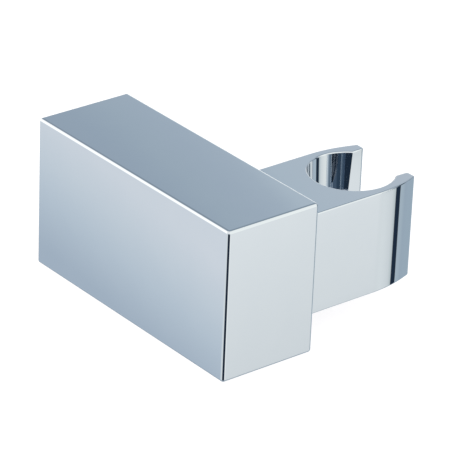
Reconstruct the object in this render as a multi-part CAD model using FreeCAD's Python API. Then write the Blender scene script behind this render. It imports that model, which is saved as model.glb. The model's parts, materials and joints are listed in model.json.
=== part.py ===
import FreeCAD, Part
import math
import os
from FreeCAD import Vector

# A hand shower holder: a long rectangular block that stands out from the wall, and a split cradle on its
# right side that takes the tapered nut of a shower hose and turns to tilt the hand shower.
# Sizes are in millimetres. The wall is the plane Y = 0, the block comes out of it towards -Y and +Z is up.
# The cradle turns about a line along X. The origin is midway between the two wall screws.

# Block
block_width = 30.0
block_length = 82.6
block_height = 44.0
block_wall = 3.0
block_edge = 0.9
rim_edge = 0.3
cavity_corner = 2.0

# Cradle, with its reach counted from the block's side face
pivot_from_front = 21.0
cradle_gap = 0.6
cradle_root = 17.0
cradle_height = 30.0
seat_top_radius = 12.0
seat_bottom_radius = 10.5
prong_wall = 2.7
prong_hook = 1.6
prong_length = 12.2
prong_bend = 3.6
prong_turn = 18.0
bend_radius = 40.0
mouth_corner = 1.0
tip_corner = 0.5
cradle_edge = 0.4

# Pivot screw
shoulder_radius = 4.0
pivot_thread_radius = 3.0
pivot_thread_length = 11.0
head_radius = 6.5
head_height = 4.5
head_edge = 0.5
head_socket = 5.0
head_socket_depth = 2.8
screw_lead = 0.7

# What the pivot screw holds together, from the block outwards
disc_thickness = 2.0
disc_radius = 11.5
disc_key_width = 3.0
disc_key_length = 1.6
seal_section = 1.9
seal_edge = 0.4
web_thickness = 6.0
bush_wall = 1.4
bush_flange = 1.0
stack_radius = 7.0
washer_thickness = 1.0
spring_thickness = 0.7
spring_dish = 0.4

# Boss inside the block that the pivot screw is driven into
boss_radius = 9.0
boss_reach = 12.0
boss_edge = 1.0

# Wall plate inside the block's open end
plate_thickness = 9.0
plate_web = 3.5
plate_side_rim = 2.5
plate_end_rim = 4.5
plate_rib = 3.2
plate_boss_radius = 5.2
plate_edge = 0.5
wall_screw_spacing = 22.0
wall_screw_radius = 2.6
wall_slot_length = 8.0
countersink_radius = 4.9
groove_depth = 2.0

# Clamp screw under the block
clamp_radius = 2.0
clamp_point_radius = 0.8
clamp_recess = 0.3
clamp_socket = 2.0
clamp_socket_depth = 1.8
hole_lead = 0.3

# Clearances
plate_clearance = 0.25
thread_clearance = 0.05
running_clearance = 0.05
seat_clearance = 0.15
slide_gap = 0.02
point_clearance = 0.1

# Places worked out from the sizes
side_face = block_width / 2
pivot_y = pivot_from_front - block_length
cavity_x = block_width / 2 - block_wall
cavity_z = block_height / 2 - block_wall
cavity_front = block_wall - block_length

cradle_half = seat_top_radius + prong_wall
cradle_back = side_face + cradle_gap
seat_x = side_face + cradle_root + seat_top_radius
cradle_tip = seat_x + prong_length
bend_x = seat_x + prong_bend
tip_half = cradle_half - (cradle_tip - bend_x) * math.tan(math.radians(prong_turn))
mouth_half = seat_bottom_radius - prong_hook

disc_start = side_face + slide_gap
disc_end = side_face + disc_thickness
web_end = disc_end + web_thickness
flange_end = web_end + bush_flange
washer_start = flange_end + slide_gap
washer_end = washer_start + washer_thickness
inner_spring_start = washer_end + slide_gap
inner_spring_end = inner_spring_start + spring_dish + spring_thickness
outer_spring_start = inner_spring_end + slide_gap
outer_spring_end = outer_spring_start + spring_dish + spring_thickness
head_start = outer_spring_end + slide_gap
head_end = head_start + head_height
bush_radius = shoulder_radius + running_clearance + bush_wall

slot_reach = wall_slot_length / 2 - wall_screw_radius
plate_x = cavity_x - plate_clearance
plate_z = cavity_z - plate_clearance
clamp_y = -plate_thickness / 2
clamp_start = clamp_recess - block_height / 2
groove_top = groove_depth - plate_z
clamp_end = groove_top - clamp_point_radius - point_clearance * math.sqrt(2)


def block_between(low, high):
    """A block from its lowest to its highest corner."""
    size = high - low
    return Part.makeBox(size.x, size.y, size.z, low)


def rod(radius, start, end):
    """A round bar about the pivot line, between two places along X."""
    return Part.makeCylinder(radius, end - start, Vector(start, pivot_y, 0), Vector(1, 0, 0))


def turned(outline):
    """A body turned about the pivot line, from corners given as (place along X, radius)."""
    points = [Vector(x, pivot_y, radius) for x, radius in outline]
    face = Part.Face(Part.makePolygon(points + points[:1]))
    return face.revolve(Vector(0, pivot_y, 0), Vector(1, 0, 0), 360)


def hex_bar(across, centre, along):
    """A hexagonal bar for a key socket, from its centre and the vector that it runs along."""
    corner = across / math.sqrt(3)
    points = []
    for k in range(7):
        angle = math.radians(60 * k)
        points.append(Vector(corner * math.cos(angle), corner * math.sin(angle), 0))
    bar = Part.Face(Part.makePolygon(points)).extrude(Vector(0, 0, along.Length))
    bar.Placement = FreeCAD.Placement(centre, FreeCAD.Rotation(Vector(0, 0, 1), along))
    return bar


def span(edge, axis):
    """The lowest and highest place of an edge along X, Y or Z."""
    box = edge.BoundBox
    return {"X": (box.XMin, box.XMax), "Y": (box.YMin, box.YMax), "Z": (box.ZMin, box.ZMax)}[axis]


def lies_at(edge, axis, value):
    """Whether a whole edge lies in the plane at this value of the axis."""
    low, high = span(edge, axis)
    return abs(low - value) < 1e-4 and abs(high - value) < 1e-4


def runs_along(edge, axis):
    """Whether an edge is straight and parallel to the axis."""
    others = [name for name in "XYZ" if name != axis]
    return all(span(edge, name)[1] - span(edge, name)[0] < 1e-4 for name in others)


def rounded(shape, radius, wanted):
    """The shape with a round on each edge that the test picks."""
    return shape.makeFillet(radius, [edge for edge in shape.Edges if wanted(edge)])


def broken(shape, size, wanted):
    """The shape with a small chamfer on each edge that the test picks."""
    return shape.makeChamfer(size, [edge for edge in shape.Edges if wanted(edge)])


def block_shell():
    """The outer walls, closed in front and open at the wall."""
    outer = block_between(Vector(-block_width / 2, -block_length, -block_height / 2),
                          Vector(block_width / 2, 0, block_height / 2))
    outer = rounded(outer, block_edge, lambda edge: not lies_at(edge, "Y", 0))
    outer = broken(outer, rim_edge, lambda edge: lies_at(edge, "Y", 0))
    inner = block_between(Vector(-cavity_x, cavity_front, -cavity_z), Vector(cavity_x, 0, cavity_z))
    inner = rounded(inner, cavity_corner, lambda edge: runs_along(edge, "Y"))
    return outer.cut(inner)


def pivot_boss():
    """A thick pad inside the side wall that runs from the pivot to the front wall."""
    start = side_face - boss_reach
    end = side_face - block_wall / 2
    pad = rod(boss_radius, start, end)
    stem = block_between(Vector(start, cavity_front - block_wall / 2, -boss_radius),
                         Vector(end, pivot_y, boss_radius))
    pad = pad.fuse(stem).removeSplitter()
    return broken(pad, boss_edge, lambda edge: lies_at(edge, "X", start) and span(edge, "Y")[1] > cavity_front)


def clamp_hole():
    """The threaded hole for the clamp screw, with a small lead at its mouth."""
    bottom = -block_height / 2
    radius = clamp_radius + thread_clearance
    hole = Part.makeCylinder(radius, 2 * block_wall, Vector(0, clamp_y, bottom))
    lead = Part.makeCone(radius + hole_lead, radius, hole_lead, Vector(0, clamp_y, bottom))
    return hole.fuse(lead)


def pivot_hole():
    """The threaded hole for the pivot screw, through the side wall and its boss."""
    radius = pivot_thread_radius + thread_clearance
    hole = rod(radius, side_face - boss_reach, side_face)
    lead = Part.makeCone(radius, radius + hole_lead, hole_lead,
                         Vector(side_face - hole_lead, pivot_y, 0), Vector(1, 0, 0))
    return hole.fuse(lead)


def block_housing():
    housing = block_shell().fuse(pivot_boss()).removeSplitter()
    return housing.cut(clamp_hole()).cut(pivot_hole())


def plate_pockets():
    """The hollows in the plate's back, around the two screw bosses and the rib between them."""
    depth = plate_thickness - plate_web
    hollow = block_between(Vector(plate_side_rim - plate_x, -depth, plate_end_rim - plate_z),
                           Vector(plate_x - plate_side_rim, 0, plate_z - plate_end_rim))
    rib = block_between(Vector(-plate_rib / 2, -depth, -plate_z), Vector(plate_rib / 2, 0, plate_z))
    hollow = hollow.cut(rib)
    for side in (-1, 1):
        hollow = hollow.cut(slot_bar(plate_boss_radius, plate_boss_radius, 0, -depth, side))
    return hollow


def slot_bar(start_radius, end_radius, start, end, side):
    """A bar with round ends about the upper or the lower wall screw, from one place along Y to another."""
    low = side * wall_screw_spacing / 2 - slot_reach
    high = side * wall_screw_spacing / 2 + slot_reach
    points = [Vector(-start_radius, start, low), Vector(start_radius, start, low),
              Vector(end_radius, end, low), Vector(-end_radius, end, low)]
    bar = Part.Face(Part.makePolygon(points + points[:1])).extrude(Vector(0, 0, high - low))
    for z in (low, high):
        if start_radius == end_radius:
            bar = bar.fuse(Part.makeCylinder(start_radius, start - end, Vector(0, start, z), Vector(0, -1, 0)))
        else:
            bar = bar.fuse(Part.makeCone(start_radius, end_radius, start - end, Vector(0, start, z),
                                         Vector(0, -1, 0)))
    return bar.removeSplitter()


def wall_screw_slot(side):
    """An upright slot for a wall screw, countersunk from the front, in which the plate can be shifted."""
    sink_start = countersink_radius - wall_screw_radius - plate_thickness
    slot = slot_bar(wall_screw_radius, wall_screw_radius, 0, -plate_thickness, side)
    return slot.fuse(slot_bar(wall_screw_radius, countersink_radius, sink_start, -plate_thickness, side))


def clamp_groove():
    """The groove across the plate's underside that the clamp screw's point pulls against."""
    points = [Vector(-plate_x, clamp_y - groove_depth, -plate_z),
              Vector(-plate_x, clamp_y + groove_depth, -plate_z),
              Vector(-plate_x, clamp_y, groove_top)]
    return Part.Face(Part.makePolygon(points + points[:1])).extrude(Vector(2 * plate_x, 0, 0))


def wall_plate():
    plate = block_between(Vector(-plate_x, -plate_thickness, -plate_z), Vector(plate_x, 0, plate_z))
    plate = rounded(plate, cavity_corner, lambda edge: runs_along(edge, "Y"))
    plate = broken(plate, plate_edge, lambda edge: lies_at(edge, "Y", -plate_thickness))
    plate = plate.cut(plate_pockets()).cut(clamp_groove())
    for side in (-1, 1):
        plate = plate.cut(wall_screw_slot(side))
    return plate


def clamp_screw():
    """A headless screw with a blunt cone point that reaches up into the plate's groove."""
    drop = clamp_radius - clamp_point_radius
    foot = Vector(0, clamp_y, clamp_start)
    body = Part.makeCylinder(clamp_radius, clamp_end - drop - clamp_start, foot)
    point = Part.makeCone(clamp_radius, clamp_point_radius, drop, Vector(0, clamp_y, clamp_end - drop))
    return body.fuse(point).cut(hex_bar(clamp_socket, foot, Vector(0, 0, clamp_socket_depth)))


def cradle_blank():
    """The cradle's outline seen from above, with its prongs bent inwards, at its full height."""
    corners = [(cradle_back, cradle_half), (bend_x, cradle_half), (cradle_tip, tip_half),
               (cradle_tip, -tip_half), (bend_x, -cradle_half), (cradle_back, -cradle_half)]
    points = [Vector(x, pivot_y + y, -cradle_height / 2) for x, y in corners]
    blank = Part.Face(Part.makePolygon(points + points[:1])).extrude(Vector(0, 0, cradle_height))
    return rounded(blank, bend_radius, lambda edge: runs_along(edge, "Z") and lies_at(edge, "X", bend_x))


def hose_seat():
    """The tapered hole that the hose nut drops into, and the mouth that the hose passes through."""
    bottom = Vector(seat_x, pivot_y, -cradle_height / 2)
    mouth = block_between(bottom - Vector(0, mouth_half, 0),
                          Vector(cradle_tip, pivot_y + mouth_half, cradle_height / 2))
    return Part.makeCone(seat_bottom_radius, seat_top_radius, cradle_height, bottom).fuse(mouth)


def friction_disc_space(clearance, start, end):
    """The friction disc's round and its two keys, grown all round by a clearance."""
    key_x = disc_radius + disc_key_length + clearance
    key_y = disc_key_width / 2 + clearance
    keys = block_between(Vector(start, pivot_y - key_y, -key_x), Vector(end, pivot_y + key_y, key_x))
    return rod(disc_radius + clearance, start, end).fuse(keys).removeSplitter()


def at_tip(edge, half):
    """Whether an edge is upright, at a prong's tip and this far from the cradle's middle."""
    upright = runs_along(edge, "Z") and lies_at(edge, "X", cradle_tip)
    return upright and any(lies_at(edge, "Y", pivot_y + side * half) for side in (-1, 1))


def cradle():
    body = cradle_blank().cut(hose_seat())
    body = rounded(body, mouth_corner, lambda edge: at_tip(edge, mouth_half))
    body = rounded(body, tip_corner, lambda edge: at_tip(edge, tip_half))
    ends = (-cradle_height / 2, cradle_height / 2)
    body = broken(body, cradle_edge, lambda edge: any(lies_at(edge, "Z", z) for z in ends))
    body = body.cut(friction_disc_space(seat_clearance, cradle_back, disc_end))
    body = body.cut(rod(bush_radius + seat_clearance, disc_end, web_end))
    return body.cut(rod(stack_radius + seat_clearance * 2, web_end, seat_x))


def pivot_screw():
    """A shoulder screw: its shoulder stops on the block's face and its thread holds in the boss."""
    thread_start = side_face - pivot_thread_length
    outline = [(thread_start, 0), (thread_start, pivot_thread_radius - screw_lead),
               (thread_start + screw_lead, pivot_thread_radius), (side_face, pivot_thread_radius),
               (side_face, shoulder_radius), (head_start, shoulder_radius), (head_start, head_radius),
               (head_end - head_edge, head_radius), (head_end, head_radius - head_edge), (head_end, 0)]
    socket = hex_bar(head_socket, Vector(head_end, pivot_y, 0), Vector(-head_socket_depth, 0, 0))
    return turned(outline).cut(socket)


def friction_disc():
    """The disc that the cradle turns on, keyed into the cradle's back and open for the seal."""
    disc = friction_disc_space(0, disc_start, disc_end)
    opening = shoulder_radius + running_clearance + seal_section + seat_clearance
    return disc.cut(rod(opening, disc_start, disc_end))


def pivot_seal():
    """A rubber ring of square section round the screw's shoulder, between the block and the cradle."""
    inner = shoulder_radius + running_clearance
    start = (side_face + disc_end - seal_section) / 2
    ring = rod(inner + seal_section, start, start + seal_section)
    ring = ring.cut(rod(inner, start, start + seal_section))
    return broken(ring, seal_edge, lambda edge: len(edge.Vertexes) == 1)


def cradle_bush():
    """The flanged bush pressed into the cradle's web, which the shoulder turns in."""
    sleeve = rod(bush_radius, disc_end, flange_end)
    flange = rod(stack_radius, web_end, flange_end)
    return sleeve.fuse(flange).cut(rod(shoulder_radius + running_clearance, disc_end, flange_end))


def thrust_washer():
    hole = rod(shoulder_radius + running_clearance, washer_start, washer_end)
    return rod(stack_radius, washer_start, washer_end).cut(hole)


def disc_spring(start, end):
    """A dished spring washer whose hollow side faces the end that is given last."""
    toward = math.copysign(1, end - start)
    inner = shoulder_radius + running_clearance
    outline = [(start, inner), (start + toward * spring_thickness, inner),
               (end, stack_radius), (end - toward * spring_thickness, stack_radius)]
    return turned(outline)


pieces = {
    "block_housing": block_housing(),
    "wall_plate": wall_plate(),
    "clamp_screw": clamp_screw(),
    "cradle": cradle(),
    "pivot_screw": pivot_screw(),
    "friction_disc": friction_disc(),
    "pivot_seal": pivot_seal(),
    "cradle_bush": cradle_bush(),
    "thrust_washer": thrust_washer(),
    "disc_spring_inner": disc_spring(inner_spring_start, inner_spring_end),
    "disc_spring_outer": disc_spring(outer_spring_end, outer_spring_start),
}

os.makedirs("parts", exist_ok=True)
for name, shape in pieces.items():
    if not shape.isValid() or len(shape.Solids) != 1:
        raise RuntimeError(f"{name} is not one valid solid")
    shape.Solids[0].exportStep(f"parts/{name}.step")
    print(name, "volume", round(shape.Volume, 1), "mm3")
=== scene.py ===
import bpy
import bmesh
import json
import math
from mathutils import Matrix, Vector


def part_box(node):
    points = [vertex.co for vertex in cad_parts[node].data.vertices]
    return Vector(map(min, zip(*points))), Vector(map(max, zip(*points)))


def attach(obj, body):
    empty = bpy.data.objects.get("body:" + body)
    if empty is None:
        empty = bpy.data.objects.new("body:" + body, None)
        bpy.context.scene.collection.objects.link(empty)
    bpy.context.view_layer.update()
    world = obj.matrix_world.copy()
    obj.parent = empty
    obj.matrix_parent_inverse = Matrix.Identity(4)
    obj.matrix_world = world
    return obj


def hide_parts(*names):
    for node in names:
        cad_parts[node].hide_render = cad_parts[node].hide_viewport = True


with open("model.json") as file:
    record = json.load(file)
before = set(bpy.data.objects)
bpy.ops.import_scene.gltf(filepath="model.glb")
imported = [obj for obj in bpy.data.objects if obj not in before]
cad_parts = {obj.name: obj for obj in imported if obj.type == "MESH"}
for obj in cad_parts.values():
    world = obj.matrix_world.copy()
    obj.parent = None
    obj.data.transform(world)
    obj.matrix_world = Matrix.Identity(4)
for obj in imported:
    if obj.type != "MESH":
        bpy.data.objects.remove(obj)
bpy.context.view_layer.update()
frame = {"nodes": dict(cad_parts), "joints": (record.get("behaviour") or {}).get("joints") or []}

# Everything is in metres. The wall is the plane Y = 0, the block comes out of it towards -Y and +Z is up.
MM = 0.001
block_low, block_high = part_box("block_housing")
cradle_low, cradle_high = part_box("cradle")
clamp_low, clamp_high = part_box("clamp_screw")
pivot = Vector(next(joint for joint in frame["joints"] if joint["name"] == "cradle_tilt")["pos_m"])

# Camera, as the photograph was taken: angles in degrees, sensor and lens in millimetres
camera_place = Vector((-0.48783, -0.65918, 0.39868))
camera_azimuth = -39.277
camera_elevation = 26.674
camera_roll = 2.329
sensor_width = 36.0
camera_lens = 7.3255 * sensor_width
nearest_seen = 0.01
farthest_seen = 50.0

# Block
block_edge = 0.9 * MM
rim_edge = 0.3 * MM
block_wall = 3.0 * MM
cavity_corner = 2.0 * MM
boss_radius = 9.0 * MM
boss_reach = 12.0 * MM
pivot_thread_hole = 3.05 * MM
clamp_thread_hole = 2.05 * MM

# Cradle. Its prongs' outer faces bend inwards by prong_turn.
seat_top_radius = 12.0 * MM
seat_bottom_radius = 10.5 * MM
prong_length = 12.2 * MM
prong_bend = 3.6 * MM
prong_turn = math.radians(18)
bend_radius = 40.0 * MM
mouth_half = 8.9 * MM
mouth_corner = 1.0 * MM
tip_corner = 0.5 * MM
cradle_edge = 0.4 * MM
web_start = 17.0 * MM
web_end = 23.0 * MM
disc_hole = 11.65 * MM
disc_key_reach = 13.25 * MM
disc_key_half = 1.65 * MM
bush_hole = 5.6 * MM
stack_hole = 7.3 * MM
overcut = 1.0 * MM

# How finely the round forms and the cradle's height are divided
edge_steps = 8
rim_steps = 2
cavity_steps = 6
seat_steps = 72
corner_steps = 10
bend_steps = 20
wall_levels = 14
bar_sides = 128
clamp_hole_sides = 64

# The profile of a true round, and the angle from which an edge between two faces is shown as sharp
round_profile = 0.5
sharp_angle = math.radians(32)

# Floor. Most of its brightness is light of its own, so that it is as white as the photograph's background.
floor_reach = 10.0
floor_base = (0.45, 0.45, 0.45, 1)
floor_roughness = 0.9
floor_light = (1, 0.97, 0.965, 1)
floor_light_strength = 0.83


def new_object(name, shape):
    """A mesh object in the scene, made from a bmesh that it uses up."""
    mesh = bpy.data.meshes.new(name)
    shape.to_mesh(mesh)
    shape.free()
    thing = bpy.data.objects.new(name, mesh)
    bpy.context.scene.collection.objects.link(thing)
    return thing


def new_piece(name, shape, body):
    """A mesh object that rides on a body."""
    piece = new_object(name, shape)
    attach(piece, body)
    return piece


def helper(shape):
    """An object for combine to read, which deletes it afterwards."""
    return new_object("helper", shape)


def combine(piece, other, operation):
    """Cuts the other shape out of the piece, or joins it on, and deletes the other."""
    step = piece.modifiers.new("step", "BOOLEAN")
    step.operation = operation
    step.solver = "EXACT"
    step.object = other
    view = bpy.context.evaluated_depsgraph_get()
    mesh = bpy.data.meshes.new_from_object(piece.evaluated_get(view))
    piece.modifiers.clear()
    old = piece.data
    piece.data = mesh
    bpy.data.meshes.remove(old)
    bpy.data.objects.remove(other)
    piece.data.name = piece.name


def box_shape(low, high):
    """A closed box from its lowest to its highest corner."""
    shape = bmesh.new()
    size = high - low
    place = Matrix.Translation((low + high) / 2) @ Matrix.Diagonal((*size, 1))
    bmesh.ops.create_cube(shape, size=1, matrix=place)
    return shape


def round_edges(shape, radius, steps, wanted):
    """Rounds each edge of a shape whose two ends pass the test."""
    edges = [edge for edge in shape.edges if wanted(*[corner.co for corner in edge.verts])]
    bmesh.ops.bevel(shape, geom=edges, offset=radius, segments=steps, profile=round_profile,
                    affect="EDGES", clamp_overlap=True)


def bar_shape(radius, length, sides, place):
    """A round bar, which stands upright about the origin before its place moves and turns it."""
    shape = bmesh.new()
    bmesh.ops.create_cone(shape, cap_ends=True, segments=sides, radius1=radius, radius2=radius,
                          depth=length, matrix=place)
    return shape


def pivot_bar(radius, start, end):
    """A round bar on the pivot's line, between two places along X."""
    middle = Matrix.Translation(((start + end) / 2, pivot.y, pivot.z))
    return bar_shape(radius, end - start, bar_sides, middle @ Matrix.Rotation(math.pi / 2, 4, "Y"))


def block_shell():
    """The block's walls with rounded edges, open at the wall."""
    shape = box_shape(block_low, block_high)
    # All edges but those at the wall, and then those.
    round_edges(shape, block_edge, edge_steps, lambda a, b: min(a.y, b.y) < block_high.y - rim_edge)
    round_edges(shape, rim_edge, rim_steps, lambda a, b: min(a.y, b.y) > block_high.y - rim_edge / 2)
    shell = new_piece("housing_shell", shape, "block")
    wall = Vector((block_wall, block_wall, block_wall))
    inner_low = block_low + wall
    inner_high = block_high - wall
    inner_high.y = block_high.y + block_wall
    inner = box_shape(inner_low, inner_high)
    round_edges(inner, cavity_corner, cavity_steps, lambda a, b: abs(a.y - b.y) > block_wall)
    combine(shell, helper(inner), "DIFFERENCE")
    return shell


def add_boss(shell):
    """The pad inside the side wall that the pivot screw holds in."""
    start = block_high.x - boss_reach
    end = block_high.x - block_wall / 2
    pad = helper(pivot_bar(boss_radius, start, end))
    stem = box_shape(Vector((start, block_low.y + block_wall / 2, -boss_radius)),
                     Vector((end, pivot.y, boss_radius)))
    combine(pad, helper(stem), "UNION")
    combine(shell, pad, "UNION")


def cut_block_holes(shell):
    """The threaded holes for the pivot screw and for the clamp screw."""
    combine(shell, helper(pivot_bar(pivot_thread_hole, 0, 2 * block_high.x)), "DIFFERENCE")
    centre = (clamp_low + clamp_high) / 2
    place = Matrix.Translation((centre.x, centre.y, block_low.z))
    upright_bar = bar_shape(clamp_thread_hole, 3 * block_wall, clamp_hole_sides, place)
    combine(shell, helper(upright_bar), "DIFFERENCE")


def arc(centre, radius, start, end, steps):
    """Points along an arc seen from above, angles in radians."""
    turn = (end - start) / steps
    angles = [start + turn * k for k in range(steps + 1)]
    return [Vector((centre[0] + radius * math.cos(angle), centre[1] + radius * math.sin(angle)))
            for angle in angles]


def cradle_outline(seat_radius, inset):
    """The cradle seen from above at one height, pulled in from its real edge by an inset."""
    half = cradle_high.y - pivot.y
    tip = cradle_high.x
    seat_x = tip - prong_length
    bend_x = seat_x + prong_bend
    tip_half = half - (tip - bend_x) * math.tan(prong_turn)
    seat = seat_radius + inset
    meet = math.asin((mouth_half + inset) / seat)
    mouth_centre = (tip - mouth_corner, mouth_half + mouth_corner)
    slope = math.pi / 2 - prong_turn
    tip_centre = (tip - tip_corner, tip_half - tip_corner * math.tan(slope / 2))
    bend_centre = (bend_x - bend_radius * math.tan(prong_turn / 2), half - bend_radius)

    # One half: round the seat, over the mouth's corner and the prong's tip, along the bend and to the back.
    points = arc((seat_x, 0), seat, math.pi, meet, seat_steps)
    points += arc(mouth_centre, mouth_corner - inset, -math.pi / 2, 0, corner_steps)
    points += arc(tip_centre, tip_corner - inset, 0, slope, corner_steps)
    points += arc(bend_centre, bend_radius - inset, slope, math.pi / 2, bend_steps)
    points.append(Vector((cradle_low.x + inset, half - inset)))
    near = [Vector((point.x, -point.y)) for point in reversed(points[1:])]
    return [Vector((point.x, point.y + pivot.y)) for point in points + near]


def cradle_levels():
    """Each height above the cradle's underside that gets an outline, with the outline's inset."""
    height = cradle_high.z - cradle_low.z
    levels = []
    for k in range(edge_steps + 1):
        angle = math.pi / 2 * k / edge_steps
        levels.append((cradle_edge * (1 - math.cos(angle)), cradle_edge * (1 - math.sin(angle))))
    straight = height - 2 * cradle_edge
    levels += [(cradle_edge + straight * k / wall_levels, 0) for k in range(1, wall_levels)]
    levels += [(height - up, inset) for up, inset in reversed(levels[:edge_steps + 1])]
    return levels


def cradle_blank():
    """The cradle's body as a stack of outlines, before its holes are cut."""
    shape = bmesh.new()
    height = cradle_high.z - cradle_low.z
    rings = []
    for up, inset in cradle_levels():
        seat_radius = seat_bottom_radius + (seat_top_radius - seat_bottom_radius) * up / height
        outline = cradle_outline(seat_radius, inset)
        rings.append([shape.verts.new((point.x, point.y, cradle_low.z + up)) for point in outline])
    count = len(rings[0])
    for low, high in zip(rings, rings[1:]):
        for k in range(count):
            after = (k + 1) % count
            shape.faces.new((low[k], high[k], high[after], low[after]))
    shape.faces.new(rings[0])
    shape.faces.new(list(reversed(rings[-1])))
    bmesh.ops.recalc_face_normals(shape, faces=shape.faces)
    return new_piece("cradle_body", shape, "cradle")


def cut_cradle_holes(body):
    """The recess for the friction disc, the bush's hole and the sunk space for the screw's head."""
    behind = cradle_low.x - overcut
    disc_space = helper(pivot_bar(disc_hole, behind, web_start))
    keys = box_shape(Vector((behind, pivot.y - disc_key_half, -disc_key_reach)),
                     Vector((web_start, pivot.y + disc_key_half, disc_key_reach)))
    combine(disc_space, helper(keys), "UNION")
    combine(body, disc_space, "DIFFERENCE")
    combine(body, helper(pivot_bar(bush_hole, web_start - overcut, web_end + overcut)), "DIFFERENCE")
    seat_x = cradle_high.x - prong_length
    combine(body, helper(pivot_bar(stack_hole, web_end, seat_x)), "DIFFERENCE")


def finish_shape(piece):
    """Smooth shading that leaves flat faces flat and sharp edges sharp."""
    for face in piece.data.polygons:
        face.use_smooth = True
    piece.data.set_sharp_from_angle(angle=sharp_angle)
    even = piece.modifiers.new("even_normals", "WEIGHTED_NORMAL")
    even.keep_sharp = True


# Each finish: its two close colours, its lowest and highest roughness, how metallic it is, how many marks it
# has to the metre along X, Y and Z, and how deep they are in metres. "glow" is a trace of light of its own,
# for the last of the many reflections between close mirror faces, which are cut short and go black.
finishes = {
    "polished_chrome": {"colours": ((0.785, 0.805, 0.832), (0.812, 0.826, 0.846)), "rough": (0.012, 0.03),
                        "metallic": 1, "marks": (70, 70, 70), "depth": 0.0000015,
                        "glow": (0.003, 0.0056, 0.0096)},
    "satin_brass": {"colours": ((0.60, 0.46, 0.23), (0.76, 0.62, 0.36)), "rough": (0.28, 0.46),
                    "metallic": 1, "marks": (900, 900, 900), "depth": 0.00001},
    "turned_steel": {"colours": ((0.54, 0.54, 0.54), (0.67, 0.67, 0.66)), "rough": (0.2, 0.36),
                     "metallic": 1, "marks": (4000, 300, 300), "depth": 0.000003},
    # Steel painted far darker than the turned steel: painted shade on the pivot screw's head down in the
    # seat's recess.
    "steel_with_painted_shade": {"colours": ((0.17, 0.18, 0.20), (0.25, 0.26, 0.28)), "rough": (0.2, 0.34),
                       "metallic": 1, "marks": (4000, 300, 300), "depth": 0.000003},
    "spring_steel": {"colours": ((0.34, 0.34, 0.35), (0.52, 0.50, 0.47)), "rough": (0.25, 0.42),
                     "metallic": 1, "marks": (600, 600, 600), "depth": 0.00001},
    "black_plastic": {"colours": ((0.060, 0.060, 0.066), (0.105, 0.105, 0.115)), "rough": (0.42, 0.60),
                      "metallic": 0, "marks": (1800, 1800, 1800), "depth": 0.00003},
    "pale_plastic": {"colours": ((0.80, 0.79, 0.73), (0.90, 0.89, 0.85)), "rough": (0.34, 0.50),
                     "metallic": 0, "marks": (1200, 1200, 1200), "depth": 0.00002},
    "rubber": {"colours": ((0.035, 0.035, 0.036), (0.065, 0.065, 0.064)), "rough": (0.62, 0.82),
               "metallic": 0, "marks": (2200, 2200, 2200), "depth": 0.00004},
}
no_glow = (0, 0, 0)
marks_detail = 3
clouds_to_the_metre = 110
clouds_detail = 2

# The finish of each solid that the scene keeps as it is
kept_solids = {
    "wall_plate": "satin_brass",
    "clamp_screw": "turned_steel",
    "pivot_screw": "steel_with_painted_shade",
    # The pivot screw's steel is painted dark, as painted shade in the seat's recess.
    "thrust_washer": "turned_steel",
    "disc_spring_inner": "spring_steel",
    "disc_spring_outer": "spring_steel",
    "friction_disc": "black_plastic",
    "cradle_bush": "pale_plastic",
    "pivot_seal": "rubber",
}


def noise(tree, place, scale, detail):
    """A noise that is read at a place, from 0 to 1."""
    made = tree.nodes.new("ShaderNodeTexNoise")
    made.inputs["Scale"].default_value = scale
    made.inputs["Detail"].default_value = detail
    tree.links.new(place, made.inputs["Vector"])
    return made.outputs["Fac"]


def colour_mix(tree):
    """A mix of two colours: the sockets of the second one's share, of both colours and of the result."""
    made = tree.nodes.new("ShaderNodeMix")
    made.data_type = "RGBA"
    # By number, because the node has sockets of the same names for numbers, vectors and colours.
    return made.inputs[0], made.inputs[6], made.inputs[7], made.outputs[2]


def make_material(name):
    """A finish whose colour, roughness and surface all vary a little from place to place."""
    finish = finishes[name]
    material = bpy.data.materials.new(name)
    material.use_nodes = True
    tree = material.node_tree
    shader = tree.nodes["Principled BSDF"]
    shader.inputs["Metallic"].default_value = finish["metallic"]
    shader.inputs["Emission Color"].default_value = (*finish.get("glow", no_glow), 1)
    shader.inputs["Emission Strength"].default_value = 1
    place = tree.nodes.new("ShaderNodeTexCoord").outputs["Object"]
    stretch = tree.nodes.new("ShaderNodeMapping")
    stretch.inputs["Scale"].default_value = finish["marks"]
    tree.links.new(place, stretch.inputs["Vector"])
    marks = noise(tree, stretch.outputs["Vector"], 1, marks_detail)
    clouds = noise(tree, place, clouds_to_the_metre, clouds_detail)

    share, first, second, tint = colour_mix(tree)
    first.default_value = (*finish["colours"][0], 1)
    second.default_value = (*finish["colours"][1], 1)
    tree.links.new(clouds, share)
    tree.links.new(tint, shader.inputs["Base Color"])

    gloss = tree.nodes.new("ShaderNodeMapRange")
    gloss.inputs["To Min"].default_value = finish["rough"][0]
    gloss.inputs["To Max"].default_value = finish["rough"][1]
    tree.links.new(marks, gloss.inputs["Value"])
    tree.links.new(gloss.outputs["Result"], shader.inputs["Roughness"])

    relief = tree.nodes.new("ShaderNodeBump")
    relief.inputs["Distance"].default_value = finish["depth"]
    tree.links.new(marks, relief.inputs["Height"])
    tree.links.new(relief.outputs["Normal"], shader.inputs["Normal"])
    return material


def dress(piece, material):
    """Gives a piece one material in place of any that it has."""
    piece.data.materials.clear()
    piece.data.materials.append(material)


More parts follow.
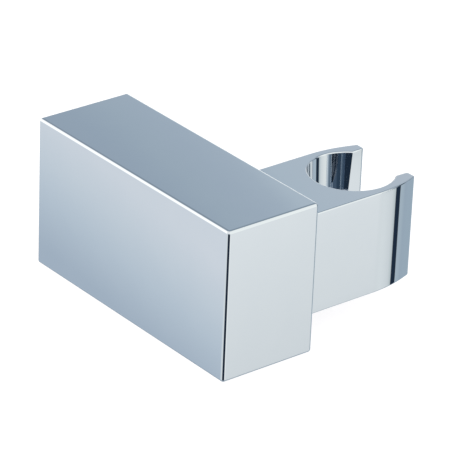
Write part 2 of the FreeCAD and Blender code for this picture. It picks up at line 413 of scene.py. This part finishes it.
# The studio as the object sees it: panels of light by azimuth and elevation in degrees, where azimuth 0 is
# +X and 90 is +Y. Each covers the ones before it, and the room's shade is behind them all. "fade" is how far
# its sides, and then its top and bottom, blur to either side of their angles. A panel's shade changes with
# one value: the azimuth times the first number of "along", plus the elevation times the second. "shades"
# gives values with their red, green and blue. Before the first and past the last the shade stays the same.
room_shade = (0.90, 0.93, 0.94, 1)
half_turn = 180
everywhere = (-half_turn, half_turn)
sideways = (1, 0)
upwards = (0, 1)
panels = [
    {"name": "table", "across": everywhere, "up": (-95, -4), "fade": (1, 5), "along": upwards,
     "shades": [(-60, 0.34, 0.42, 0.50), (-46, 0.42, 0.50, 0.58), (-33, 0.74, 0.80, 0.83)]},
    {"name": "table in front", "across": (-104, -30), "up": (-36, -12), "fade": (4, 3), "along": (-0.5, 1),
     "shades": [(-6.5, 0.665, 0.715, 0.735), (0.5, 0.925, 0.97, 0.975)]},
    {"name": "table to the left", "across": (90, 134), "up": (-62, -14), "fade": (4, 5), "along": (0.7, 1),
     "shades": [(60.8, 0.430, 0.518, 0.612), (61.7, 0.548, 0.638, 0.720), (62.4, 0.643, 0.720, 0.785),
                (63.1, 0.725, 0.780, 0.835)]},
    {"name": "dark room behind the camera", "across": (-164, -91), "up": (-62, 2), "fade": (4, 5),
     "along": upwards,
     "shades": [(-60, 0.20, 0.26, 0.32), (-36, 0.012, 0.020, 0.035), (-22, 0.012, 0.020, 0.035),
                (-3, 0.30, 0.37, 0.43)]},
    {"name": "shade beside the flag", "across": (-45.5, -20), "up": (-62, -14), "fade": (4, 5),
     "along": sideways,
     "shades": [(-47, 0.80, 0.855, 0.862), (-39, 0.768, 0.823, 0.835), (-36, 0.742, 0.797, 0.81),
                (-33, 0.713, 0.768, 0.783), (-31.3, 0.65, 0.715, 0.725), (-29.5, 0.57, 0.635, 0.65)]},
    {"name": "far edge of the table in front", "across": (-104, -36), "up": (-25.5, -14), "fade": (4, 0.4),
     "along": sideways,
     "shades": [(-56, 0.83, 0.88, 0.87), (-50, 0.78, 0.83, 0.835), (-45, 0.73, 0.785, 0.79),
                (-41.5, 0.62, 0.70, 0.72), (-38, 0.46, 0.55, 0.58)]},
    {"name": "dark flag", "across": (-28.8, -23), "up": (-62, -12), "fade": (0.5, 5), "along": upwards,
     "shades": [(0, 0.0125, 0.024, 0.044)]},
    {"name": "blue wall to the right", "across": (-23, 24), "up": (-50, 30), "fade": (0.5, 5),
     "along": sideways,
     "shades": [(-23, 0.43, 0.525, 0.595), (-19.5, 0.41, 0.505, 0.575), (-16.3, 0.367, 0.455, 0.537),
                (-11.5, 0.372, 0.466, 0.545)]},
    {"name": "dark room to the right", "across": (62, 92), "up": (-62, -12), "fade": (3, 5),
     "along": sideways,
     "shades": [(64, 0.92, 0.98, 0.99), (66, 0.70, 0.79, 0.83), (68, 0.38, 0.46, 0.52),
                (70, 0.23, 0.30, 0.36), (72.5, 0.16, 0.22, 0.28), (76, 0.11, 0.16, 0.21)]},
    {"name": "bright card to the right", "across": (40, 51.5), "up": (-36, 18), "fade": (2, 5),
     "along": upwards, "shades": [(0, 1.15, 1.2, 1.2)]},
    {"name": "dim room to the right", "across": (53.5, 92), "up": (-14, 6), "fade": (2, 3),
     "along": sideways, "shades": [(54, 0.24, 0.31, 0.37), (64, 0.10, 0.14, 0.18)]},
    {"name": "ceiling", "across": (-20, 92), "up": (20, 100), "fade": (5, 5), "along": (1, 1.2),
     "shades": [(78.2, 0.508, 0.577, 0.647), (80.7, 0.467, 0.557, 0.633), (81.15, 0.415, 0.50, 0.583),
                (81.8, 0.392, 0.476, 0.562), (82.6, 0.374, 0.461, 0.541), (83.4, 0.345, 0.428, 0.515),
                (92, 0.25, 0.31, 0.38)]},
    {"name": "dark rim of the ceiling", "across": (-14, 104), "up": (43, 62), "fade": (4, 2),
     "along": upwards, "shades": [(0, 0.26, 0.33, 0.39)]},
    {"name": "soft box, left and behind", "across": (104, 152), "up": (-8, 39), "fade": (5, 5),
     "along": upwards, "shades": [(0, 1.25, 1.27, 1.27)]},
    {"name": "blue wall above the flag", "across": (-43, 24), "up": (-16, 38), "fade": (3, 5),
     "along": upwards, "shades": [(14, 0.375, 0.45, 0.52), (32, 0.43, 0.51, 0.58)]},
    {"name": "soft box in front", "across": (-104, -38), "up": (-17, 42), "fade": (3, 5),
     "along": upwards, "shades": [(0, 1.00, 1.05, 1.03)]},
    {"name": "soft box high in front", "across": (-75, -13), "up": (43, 66), "fade": (5, 4),
     "along": upwards, "shades": [(0, 1.00, 1.05, 1.03)]},
    {"name": "top of the flag", "across": (-33, -24.5), "up": (-14, 24), "fade": (1, 3),
     "along": upwards, "shades": [(0, 0.0125, 0.024, 0.044)]},
    {"name": "dark line over the table", "across": (-50, 14), "up": (-12.6, -7.6), "fade": (1, 0.6),
     "along": sideways, "shades": [(-24, 0.03, 0.055, 0.085), (-12, 0.08, 0.12, 0.17)]},
    {"name": "dark line on the right", "across": (49, 92), "up": (-12.6, -7.6), "fade": (1, 0.6),
     "along": sideways, "shades": [(50, 0.20, 0.27, 0.33), (64, 0.08, 0.12, 0.16)]},
    {"name": "upper dark line", "across": (-50, 92), "up": (0.9, 3.9), "fade": (1, 0.5),
     "along": upwards, "shades": [(0, 0.08, 0.12, 0.17)]},
    {"name": "gap beside the table", "across": (-100, -67), "up": (-23.5, -17), "fade": (1.5, 0.6),
     "along": upwards, "shades": [(0, 0.13, 0.20, 0.28)]},
    {"name": "wall seen in the seat", "across": (-28.5, -12), "up": (-24.2, -17), "fade": (0.8, 0.6),
     "along": upwards, "shades": [(0, 0.43, 0.53, 0.60)]},
    {"name": "flag seen in the seat", "across": (-37.2, -26.2), "up": (-24.2, -17), "fade": (0.8, 0.6),
     "along": upwards, "shades": [(0, 0.012, 0.024, 0.042)]},
]


def calculate(tree, operation, *values):
    """The result of a maths node, whose values are numbers or other nodes' results."""
    made = tree.nodes.new("ShaderNodeMath")
    made.operation = operation
    for socket, value in zip(made.inputs, values):
        if isinstance(value, (int, float)):
            socket.default_value = value
        else:
            tree.links.new(value, socket)
    return made.outputs[0]


def light_angles(tree):
    """The azimuth and the elevation that a ray of light comes from, in degrees."""
    place = tree.nodes.new("ShaderNodeTexCoord")
    parts = tree.nodes.new("ShaderNodeSeparateXYZ")
    tree.links.new(place.outputs["Generated"], parts.inputs["Vector"])
    azimuth = calculate(tree, "ARCTAN2", parts.outputs["Y"], parts.outputs["X"])
    elevation = calculate(tree, "ARCSINE", parts.outputs["Z"])
    return calculate(tree, "DEGREES", azimuth), calculate(tree, "DEGREES", elevation)


def inside(tree, angle, limits, fade, goes_round):
    """1 where an angle is between its limits and 0 outside them, with a soft change at each."""
    middle = (limits[0] + limits[1]) / 2
    half = (limits[1] - limits[0]) / 2
    away = calculate(tree, "SUBTRACT", angle, middle)
    if goes_round:
        away = calculate(tree, "WRAP", away, half_turn, -half_turn)
    made = tree.nodes.new("ShaderNodeMapRange")
    made.interpolation_type = "SMOOTHSTEP"
    made.inputs["From Min"].default_value = half + fade
    made.inputs["From Max"].default_value = half - fade
    tree.links.new(calculate(tree, "ABSOLUTE", away), made.inputs["Value"])
    return made.outputs["Result"]


def panel_share(tree, panel, azimuth, elevation):
    """How much of what lies behind a panel it covers, from 0 to 1."""
    share = inside(tree, elevation, panel["up"], panel["fade"][1], False)
    if panel["across"] == everywhere:
        return share
    return calculate(tree, "MULTIPLY", share,
                     inside(tree, azimuth, panel["across"], panel["fade"][0], True))


def panel_shade(tree, panel, azimuth, elevation):
    """A panel's colour, which runs from its first shade to its last."""
    value = calculate(tree, "MULTIPLY", azimuth, panel["along"][0])
    value = calculate(tree, "ADD", value, calculate(tree, "MULTIPLY", elevation, panel["along"][1]))
    first, *first_colour = panel["shades"][0]
    reach = max(panel["shades"][-1][0] - first, 1)
    ramp = tree.nodes.new("ShaderNodeValToRGB")
    ramp.label = panel["name"]
    share = calculate(tree, "DIVIDE", calculate(tree, "SUBTRACT", value, first), reach)
    tree.links.new(share, ramp.inputs["Fac"])
    stops = ramp.color_ramp.elements
    stops.remove(stops[1])
    stops[0].position = 0
    stops[0].color = (*first_colour, 1)
    for at, *colour in panel["shades"][1:]:
        stops.new((at - first) / reach).color = (*colour, 1)
    return ramp.outputs["Color"]


def studio():
    """The light that reaches the object from all round."""
    world = bpy.data.worlds.new("studio")
    bpy.context.scene.world = world
    world.use_nodes = True
    tree = world.node_tree
    azimuth, elevation = light_angles(tree)
    colour = tree.nodes.new("ShaderNodeRGB").outputs["Color"]
    colour.default_value = room_shade
    for panel in panels:
        share, behind, in_front, mixed = colour_mix(tree)
        tree.links.new(panel_share(tree, panel, azimuth, elevation), share)
        tree.links.new(colour, behind)
        tree.links.new(panel_shade(tree, panel, azimuth, elevation), in_front)
        colour = mixed
    tree.links.new(colour, tree.nodes["Background"].inputs["Color"])


def floor():
    """A plain pale floor under the object, which the object doesn't reflect."""
    shape = bmesh.new()
    bmesh.ops.create_grid(shape, x_segments=1, y_segments=1, size=floor_reach,
                          matrix=Matrix.Translation((0, 0, block_low.z)))
    ground = new_object("floor", shape)
    ground.visible_glossy = False
    material = bpy.data.materials.new("floor")
    material.use_nodes = True
    shader = material.node_tree.nodes["Principled BSDF"]
    shader.inputs["Base Color"].default_value = floor_base
    shader.inputs["Roughness"].default_value = floor_roughness
    shader.inputs["Specular IOR Level"].default_value = 0
    shader.inputs["Emission Color"].default_value = floor_light
    shader.inputs["Emission Strength"].default_value = floor_light_strength
    dress(ground, material)


def camera():
    """The camera at the photograph's place, turned about its own line of sight by the roll."""
    azimuth = math.radians(camera_azimuth)
    elevation = math.radians(camera_elevation)
    forward = Vector((-math.sin(azimuth) * math.cos(elevation), math.cos(azimuth) * math.cos(elevation),
                      -math.sin(elevation)))
    level = Vector((math.cos(azimuth), math.sin(azimuth), 0))
    right = Matrix.Rotation(-math.radians(camera_roll), 3, forward) @ level
    up = right.cross(forward)
    turn = Matrix((right, up, -forward)).transposed()
    data = bpy.data.cameras.new("camera")
    data.lens = camera_lens
    data.sensor_width = sensor_width
    data.clip_start = nearest_seen
    data.clip_end = farthest_seen
    thing = bpy.data.objects.new("camera", data)
    thing.matrix_world = Matrix.Translation(camera_place) @ turn.to_4x4()
    bpy.context.scene.collection.objects.link(thing)
    bpy.context.scene.camera = thing


shell = block_shell()
add_boss(shell)
cut_block_holes(shell)
finish_shape(shell)
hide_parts("block_housing")

cradle_body = cradle_blank()
cut_cradle_holes(cradle_body)
finish_shape(cradle_body)
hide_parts("cradle")

materials = {name: make_material(name) for name in finishes}
dress(shell, materials["polished_chrome"])
dress(cradle_body, materials["polished_chrome"])
for name, finish in kept_solids.items():
    dress(frame["nodes"][name], materials[finish])

studio()
floor()
camera()
bpy.context.scene.view_settings.view_transform = "Standard"
